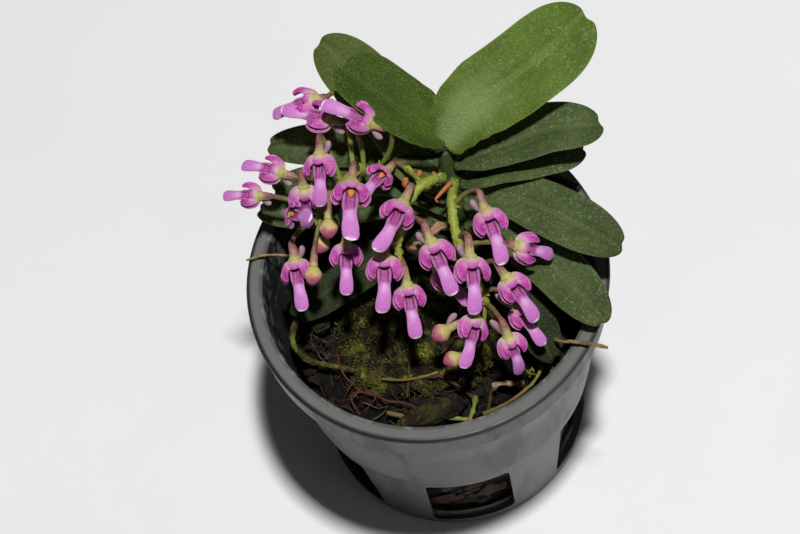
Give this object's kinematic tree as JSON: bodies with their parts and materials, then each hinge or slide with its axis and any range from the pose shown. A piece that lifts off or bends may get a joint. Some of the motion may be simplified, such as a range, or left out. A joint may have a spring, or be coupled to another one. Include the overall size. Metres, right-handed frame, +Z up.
{
  "type": "potted miniature orchid",
  "caption": "Miniature orchid with thick paired leaves and drooping clusters of small pink-violet flowers, growing in bark and moss in a small round dark plastic pot.",
  "frame": {"origin": "centre of the pot's flat underside", "axes": "+Z up along the pot's axis; -Y is the front, towards which the flowers hang; +X is to the right as seen from the front"},
  "size_m": [0.0541, 0.0553, 0.0685],
  "materials": {
    "plastic": "dark grey moulded plastic, slightly glossy",
    "fill": "dark damp bark and fibre",
    "bark": "rough brown bark and dry root",
    "moss": "yellow-green moss over brown fibre",
    "root": "green-brown living root",
    "stem": "dull green stem",
    "leaf": "thick fleshy leaf, fine sparkle, semi-gloss",
    "stalk": "yellow-green flower stalk, finely granular",
    "flower": "pink-violet petals, fleshy and finely granular"
  },
  "bodies": {
    "root": {"pot": "plastic", "potting_mix": "fill", "moss_cushion": "moss", "stem": "stem", "green_root": "root", "bent_twig": "root", "bark_chunk_front": "bark", "bark_chunk_left": "bark", "bark_chunk_right": "bark", "bark_chunk_back": "bark", "bark_chunk_back_right": "bark", "curled_root": "bark", "dry_stick": "bark", "rim_root": "bark", "rim_twig_left": "bark", "back_root": "bark", "leaf_left_1": "leaf", "leaf_left_2": "leaf", "leaf_left_3": "leaf", "leaf_left_4": "leaf", "leaf_left_5": "leaf", "leaf_left_6": "leaf", "leaf_right_1": "leaf", "leaf_right_2": "leaf", "leaf_right_3": "leaf", "leaf_right_4": "leaf", "leaf_right_5": "leaf", "leaf_right_6": "leaf", "flower_stalk_left": "stalk", "flower_stalk_middle": "stalk", "flower_stalk_right": "stalk", "flower_1": "flower", "flower_2": "flower", "flower_3": "flower", "flower_4": "flower", "flower_5": "flower", "flower_6": "flower", "flower_7": "flower", "flower_8": "flower", "flower_9": "flower", "flower_10": "flower", "flower_11": "flower", "flower_12": "flower", "flower_13": "flower", "flower_14": "flower", "flower_15": "flower", "flower_16": "flower", "flower_17": "flower", "flower_18": "flower", "flower_19": "flower", "flower_20": "flower", "flower_21": "flower", "flower_22": "flower", "flower_23": "flower", "flower_24": "flower", "bud_1": "flower", "bud_2": "flower", "bud_3": "flower", "bud_4": "flower", "bud_5": "flower"}
  },
  "joints": []
}
